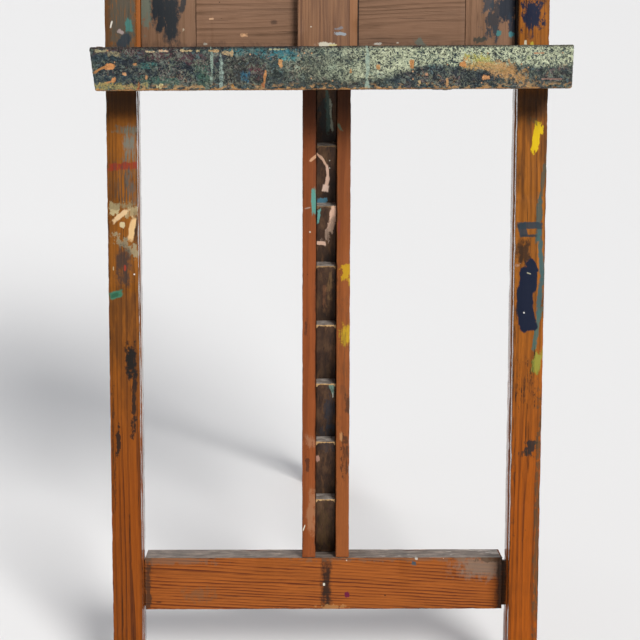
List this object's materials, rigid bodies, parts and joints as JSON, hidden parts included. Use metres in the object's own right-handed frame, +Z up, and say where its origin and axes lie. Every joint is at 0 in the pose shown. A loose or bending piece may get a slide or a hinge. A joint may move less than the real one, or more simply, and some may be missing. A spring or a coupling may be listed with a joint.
{
  "type": "studio ratchet easel",
  "caption": "Floor-standing wooden studio easel with a leaning frame, a ratchet rail, a sliding tray and mast, a canvas clamp and a folding rear leg.",
  "frame": {"origin": "on the floor, under the middle of the easel's box", "axes": "+Z up, +X to the right of a person who faces the easel, +Y from the painter towards the rear leg; the front frame leans 8 degrees back, towards +Y"},
  "size_m": [0.608, 0.841, 1.7132],
  "materials": {
    "pine": "satin",
    "red_pine": "satin",
    "dark_wood": "matte",
    "panel_pine": "matte",
    "tray_paint": "satin",
    "iron": "matte",
    "steel": "satin"
  },
  "bodies": {
    "front_frame": {"left_leg": "pine", "right_leg": "pine", "bottom_stretcher": "pine", "top_crossbar": "pine", "ratchet_guide_left": "red_pine", "ratchet_guide_right": "red_pine", "ratchet_rack": "dark_wood", "ratchet_back_board": "panel_pine", "board_screw_1": "steel", "board_screw_2": "steel", "board_screw_3": "steel", "board_screw_4": "steel", "hinge_block": "pine", "hinge_fixed_leaf": "iron", "hinge_pin": "steel", "hinge_screw_1": "steel", "hinge_screw_2": "steel"},
    "carriage": {"panel_left_cleat": "panel_pine", "panel_right_cleat": "panel_pine", "panel_plank_1": "panel_pine", "panel_plank_2": "panel_pine", "panel_plank_3": "panel_pine", "panel_plank_4": "panel_pine", "runner_left": "pine", "runner_right": "dark_wood", "mast_board": "red_pine", "mast_screw_1": "steel", "mast_screw_2": "steel", "tray_lip": "tray_paint", "tray_floor": "tray_paint", "tray_back_rail": "tray_paint", "tray_end_left": "tray_paint", "tray_end_right": "tray_paint", "tray_bracket_left": "iron", "bracket_panel_screw_left": "steel", "bracket_floor_screw_left": "steel", "tray_bracket_right": "iron", "bracket_panel_screw_right": "steel", "bracket_floor_screw_right": "steel", "pawl_bracket": "iron", "pawl_pin": "steel"},
    "pawl": {"pawl": "iron"},
    "canvas_clamp": {"clamp_block": "red_pine", "clamp_jaw": "red_pine"},
    "clamp_knob": {"clamp_knob": "dark_wood", "clamp_screw": "steel"},
    "rear_leg": {"rear_leg": "pine", "hinge_moving_leaf": "iron", "hinge_screw_3": "steel", "hinge_screw_4": "steel"}
  },
  "joints": [
    {"name": "carriage_slide", "type": "slide", "parent": "front_frame", "child": "carriage", "axis": [0, 0.1392, 0.9903], "range_m": [-0.644, 0.322]},
    {"name": "pawl_swing", "type": "hinge", "parent": "carriage", "child": "pawl", "pos_m": [-0.00457, -0.25314, 0.91026], "axis": [1, 0, 0], "range_deg": [-9, 0]},
    {"name": "clamp_slide", "type": "slide", "parent": "carriage", "child": "canvas_clamp", "axis": [0, 0.1392, 0.9903], "range_m": [-0.43, 0.06]},
    {"name": "knob_turn", "type": "hinge", "parent": "canvas_clamp", "child": "clamp_knob", "pos_m": [-0.00457, -0.25186, 1.48701], "axis": [0, 0.9903, -0.1392], "continuous": true},
    {"name": "rear_leg_fold", "type": "hinge", "parent": "front_frame", "child": "rear_leg", "pos_m": [-0.00457, -0.0893, 1.64855], "axis": [1, 0, 0], "range_deg": [-24, 0]}
  ]
}
